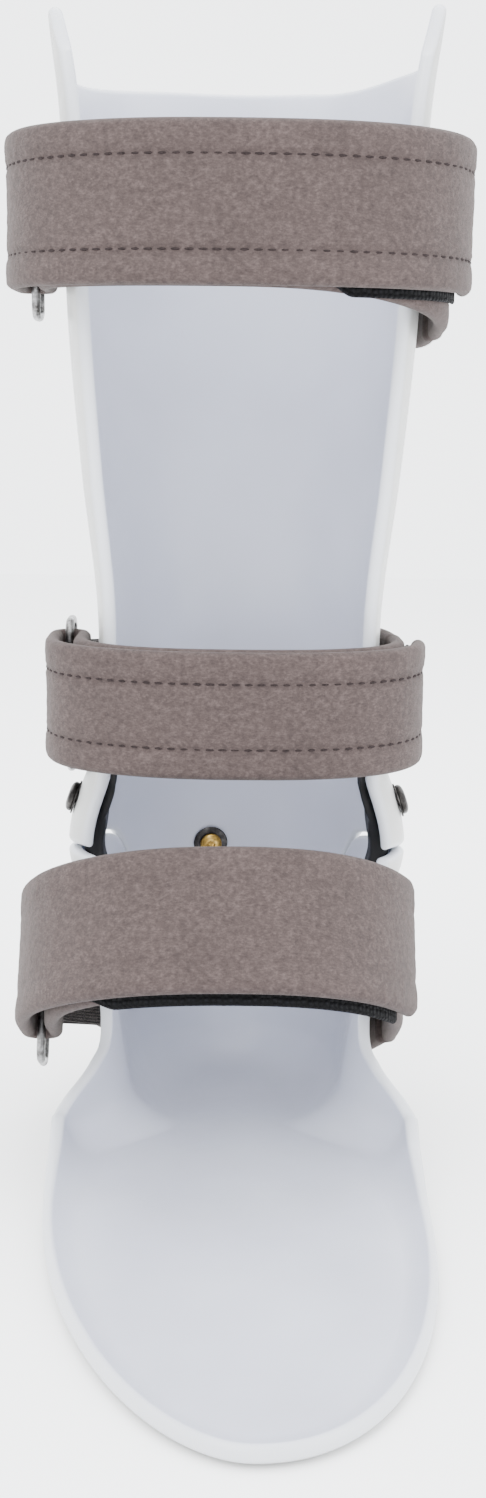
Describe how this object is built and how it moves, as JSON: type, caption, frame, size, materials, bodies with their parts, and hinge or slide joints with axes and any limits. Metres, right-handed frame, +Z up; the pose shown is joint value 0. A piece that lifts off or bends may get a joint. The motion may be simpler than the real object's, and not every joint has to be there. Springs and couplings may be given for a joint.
{
  "type": "ankle foot orthosis",
  "caption": "Hinged plastic ankle foot orthosis: calf shell on a foot shell by two flexure joints, posterior stop, three padded ring straps.",
  "frame": {"origin": "on the flat underside of the sole, straight below the ankle axis, midway between the two flexure joints", "axes": "+Z up along the leg, -Y towards the toes, +X to the medial side (right foot)"},
  "size_m": [0.1312, 0.2457, 0.328],
  "materials": {
    "polypropylene": "satin, slightly translucent natural white polypropylene",
    "elastomer": "matt black urethane",
    "strap_fabric": "taupe brushed loop fabric over foam",
    "hook_tape": "black hook tape",
    "webbing": "dark woven webbing",
    "steel": "bright nickel plate",
    "dark_metal": "dark oxide",
    "brass": "satin brass"
  },
  "bodies": {
    "foot": {"foot_shell": "polypropylene", "flexure_joint_medial": "elastomer", "flexure_joint_lateral": "elastomer", "joint_screw_lower_medial": "dark_metal", "joint_screw_lower_lateral": "dark_metal", "joint_insert_lower_medial": "brass", "joint_insert_lower_lateral": "brass", "instep_strap": "strap_fabric", "instep_chafe_tab": "webbing", "instep_anchor_rivet": "dark_metal", "instep_anchor_burr": "steel", "instep_chafe_rivet": "dark_metal", "instep_chafe_burr": "steel"},
    "calf": {"calf_shell": "polypropylene", "joint_screw_upper_medial": "dark_metal", "joint_screw_upper_lateral": "dark_metal", "joint_insert_upper_medial": "brass", "joint_insert_upper_lateral": "brass", "stop_screw": "brass", "stop_washer": "dark_metal", "stop_nut": "brass", "stop_block": "elastomer", "calf_strap": "strap_fabric", "calf_chafe_tab": "webbing", "calf_anchor_rivet": "dark_metal", "calf_anchor_burr": "steel", "calf_chafe_rivet": "dark_metal", "calf_chafe_burr": "steel", "ankle_strap": "strap_fabric", "ankle_chafe_tab": "webbing", "ankle_anchor_rivet": "dark_metal", "ankle_anchor_burr": "steel", "ankle_chafe_rivet": "dark_metal", "ankle_chafe_burr": "steel"},
    "calf_tail": {"calf_strap_tail": "strap_fabric", "calf_hook_strip": "hook_tape"},
    "calf_ring_body": {"calf_ring": "steel"},
    "ankle_tail": {"ankle_strap_tail": "strap_fabric", "ankle_hook_strip": "hook_tape"},
    "ankle_ring_body": {"ankle_ring": "steel"},
    "instep_tail": {"instep_strap_tail": "strap_fabric", "instep_hook_strip": "hook_tape"},
    "instep_ring_body": {"instep_ring": "steel"}
  },
  "joints": [
    {"name": "ankle_flexion", "type": "hinge", "parent": "foot", "child": "calf", "pos_m": [0, 0, 0.088], "axis": [1, 0, 0], "range_deg": [0, 9], "stiffness_Nm_per_rad": 0.6, "deforming": ["flexure_joint_medial", "flexure_joint_lateral"]},
    {"name": "calf_strap_opening", "type": "hinge", "parent": "calf", "child": "calf_tail", "pos_m": [-0.0668, 0.00165, 0.2721], "axis": [0, 0.061, -0.9981], "range_deg": [0, 110]},
    {"name": "calf_ring_tilt", "type": "hinge", "parent": "calf", "child": "calf_ring_body", "pos_m": [-0.0606, 0.01268, 0.27277], "axis": [0, -0.061, 0.9981], "range_deg": [-3, 3]},
    {"name": "ankle_strap_opening", "type": "hinge", "parent": "calf", "child": "ankle_tail", "pos_m": [-0.0572, 0.00165, 0.13506], "axis": [0, 0.0349, -0.9994], "range_deg": [0, 55]},
    {"name": "ankle_ring_tilt", "type": "hinge", "parent": "calf", "child": "ankle_ring_body", "pos_m": [-0.051, 0.01269, 0.13544], "axis": [0, -0.0349, 0.9994], "range_deg": [-3, 3]},
    {"name": "instep_strap_opening", "type": "hinge", "parent": "foot", "child": "instep_tail", "pos_m": [-0.0649, -0.00561, 0.04848], "axis": [0, -0.4695, -0.8829], "range_deg": [0, 110]},
    {"name": "instep_ring_tilt", "type": "hinge", "parent": "foot", "child": "instep_ring_body", "pos_m": [-0.0587, 0.00415, 0.04329], "axis": [0, 0.4695, 0.8829], "range_deg": [-3, 3]}
  ]
}
